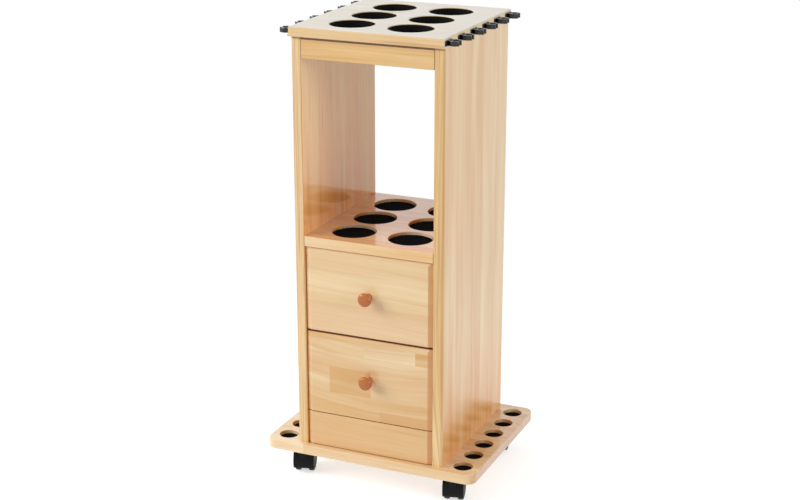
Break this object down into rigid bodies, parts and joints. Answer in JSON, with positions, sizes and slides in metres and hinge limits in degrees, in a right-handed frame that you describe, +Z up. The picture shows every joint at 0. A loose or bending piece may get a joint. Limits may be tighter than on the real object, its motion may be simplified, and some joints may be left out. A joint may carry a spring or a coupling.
{
  "type": "rolling fishing rod and rod tube cabinet",
  "caption": "Pine cabinet on twin-wheel casters: side clips and base pockets for upright rods, lined top holes over a pocketed shelf for rod tubes, drawers below.",
  "frame": {"origin": "on the floor under the middle of the case, midway between the side panels and between the front and back of the base plate", "axes": "+Z up, -Y to the front (the drawers open towards -Y), +X to the right seen from the front"},
  "size_m": [0.39, 0.3199, 0.81],
  "materials": {
    "panel_pine": "clear gloss lacquer, grain upright",
    "rail_pine": "clear gloss lacquer, grain lengthwise",
    "front_pine": "clear gloss lacquer, grain lengthwise",
    "plate_pine": "clear gloss lacquer, edge-glued staves",
    "inside_pine": "bare planed pine",
    "plywood": "bare birch plywood",
    "knob_wood": "gloss stained wood",
    "black_felt": "matt felt",
    "black_rubber": "matt foam rubber",
    "clip_plastic": "semi-gloss black plastic",
    "caster_plastic": "semi-gloss black nylon",
    "caster_tread": "satin black nylon",
    "zinc": "zinc plated",
    "dowel_beech": "bare beech"
  },
  "bodies": {
    "cabinet": {"base_plate": "plate_pine", "top_plate": "plate_pine", "tube_liners": "black_rubber", "shelf": "plate_pine", "shelf_pads": "black_felt", "frieze_rail": "rail_pine", "rear_rail": "rail_pine", "toe_panel": "front_pine", "toe_cleat": "inside_pine", "back_panel": "plywood", "side_panel_left": "panel_pine", "side_panel_right": "panel_pine", "base_pads_left": "black_felt", "base_pads_right": "black_felt", "rod_clips_left": "clip_plastic", "rod_clips_right": "clip_plastic", "drawer_runners_left": "inside_pine", "drawer_runners_right": "inside_pine", "runner_screws": "zinc", "clip_screws": "zinc", "case_dowels": "dowel_beech", "case_screws": "zinc", "caster_screws": "zinc", "caster_front_left_plate": "zinc", "caster_front_right_plate": "zinc", "caster_rear_left_plate": "zinc", "caster_rear_right_plate": "zinc"},
    "drawer_lower": {"drawer_lower_front": "front_pine", "drawer_lower_side_right": "inside_pine", "drawer_lower_side_left": "inside_pine", "drawer_lower_back": "inside_pine", "drawer_lower_bottom": "plywood", "drawer_lower_knob": "knob_wood", "drawer_lower_knob_screw": "zinc"},
    "drawer_upper": {"drawer_upper_front": "front_pine", "drawer_upper_side_right": "inside_pine", "drawer_upper_side_left": "inside_pine", "drawer_upper_back": "inside_pine", "drawer_upper_bottom": "plywood", "drawer_upper_knob": "knob_wood", "drawer_upper_knob_screw": "zinc"},
    "caster_front_left": {"caster_front_left_hood": "caster_plastic", "caster_front_left_axle": "zinc"},
    "caster_front_left_wheel_left": {"caster_front_left_wheel_left": "caster_tread"},
    "caster_front_left_wheel_right": {"caster_front_left_wheel_right": "caster_tread"},
    "caster_front_right": {"caster_front_right_hood": "caster_plastic", "caster_front_right_axle": "zinc"},
    "caster_front_right_wheel_left": {"caster_front_right_wheel_left": "caster_tread"},
    "caster_front_right_wheel_right": {"caster_front_right_wheel_right": "caster_tread"},
    "caster_rear_left": {"caster_rear_left_hood": "caster_plastic", "caster_rear_left_axle": "zinc"},
    "caster_rear_left_wheel_left": {"caster_rear_left_wheel_left": "caster_tread"},
    "caster_rear_left_wheel_right": {"caster_rear_left_wheel_right": "caster_tread"},
    "caster_rear_right": {"caster_rear_right_hood": "caster_plastic", "caster_rear_right_axle": "zinc"},
    "caster_rear_right_wheel_left": {"caster_rear_right_wheel_left": "caster_tread"},
    "caster_rear_right_wheel_right": {"caster_rear_right_wheel_right": "caster_tread"}
  },
  "joints": [
    {"name": "drawer_lower_slide", "type": "slide", "parent": "cabinet", "child": "drawer_lower", "axis": [0, -1, 0], "range_m": [0, 0.2]},
    {"name": "drawer_upper_slide", "type": "slide", "parent": "cabinet", "child": "drawer_upper", "axis": [0, -1, 0], "range_m": [0, 0.2]},
    {"name": "caster_front_left_swivel", "type": "hinge", "parent": "cabinet", "child": "caster_front_left", "pos_m": [-0.143, -0.11, 0.04], "axis": [0, 0, 1], "continuous": true},
    {"name": "caster_front_left_wheel_left_roll", "type": "hinge", "parent": "caster_front_left", "child": "caster_front_left_wheel_left", "pos_m": [-0.14826, -0.09279, 0.025], "axis": [0.9563, 0.2924, 0], "continuous": true},
    {"name": "caster_front_left_wheel_right_roll", "type": "hinge", "parent": "caster_front_left", "child": "caster_front_left_wheel_right", "pos_m": [-0.14826, -0.09279, 0.025], "axis": [0.9563, 0.2924, 0], "continuous": true},
    {"name": "caster_front_right_swivel", "type": "hinge", "parent": "cabinet", "child": "caster_front_right", "pos_m": [0.143, -0.11, 0.04], "axis": [0, 0, 1], "continuous": true},
    {"name": "caster_front_right_wheel_left_roll", "type": "hinge", "parent": "caster_front_right", "child": "caster_front_right_wheel_left", "pos_m": [0.13864, -0.09254, 0.025], "axis": [0.9703, 0.2419, 0], "continuous": true},
    {"name": "caster_front_right_wheel_right_roll", "type": "hinge", "parent": "caster_front_right", "child": "caster_front_right_wheel_right", "pos_m": [0.13864, -0.09254, 0.025], "axis": [0.9703, 0.2419, 0], "continuous": true},
    {"name": "caster_rear_left_swivel", "type": "hinge", "parent": "cabinet", "child": "caster_rear_left", "pos_m": [-0.143, 0.11, 0.04], "axis": [0, 0, 1], "continuous": true},
    {"name": "caster_rear_left_wheel_left_roll", "type": "hinge", "parent": "caster_rear_left", "child": "caster_rear_left_wheel_left", "pos_m": [-0.152, 0.12559, 0.025], "axis": [0.866, 0.5, 0], "continuous": true},
    {"name": "caster_rear_left_wheel_right_roll", "type": "hinge", "parent": "caster_rear_left", "child": "caster_rear_left_wheel_right", "pos_m": [-0.152, 0.12559, 0.025], "axis": [0.866, 0.5, 0], "continuous": true},
    {"name": "caster_rear_right_swivel", "type": "hinge", "parent": "cabinet", "child": "caster_rear_right", "pos_m": [0.143, 0.11, 0.04], "axis": [0, 0, 1], "continuous": true},
    {"name": "caster_rear_right_wheel_left_roll", "type": "hinge", "parent": "caster_rear_right", "child": "caster_rear_right_wheel_left", "pos_m": [0.13864, 0.12746, 0.025], "axis": [0.9703, 0.2419, 0], "continuous": true},
    {"name": "caster_rear_right_wheel_right_roll", "type": "hinge", "parent": "caster_rear_right", "child": "caster_rear_right_wheel_right", "pos_m": [0.13864, 0.12746, 0.025], "axis": [0.9703, 0.2419, 0], "continuous": true}
  ]
}
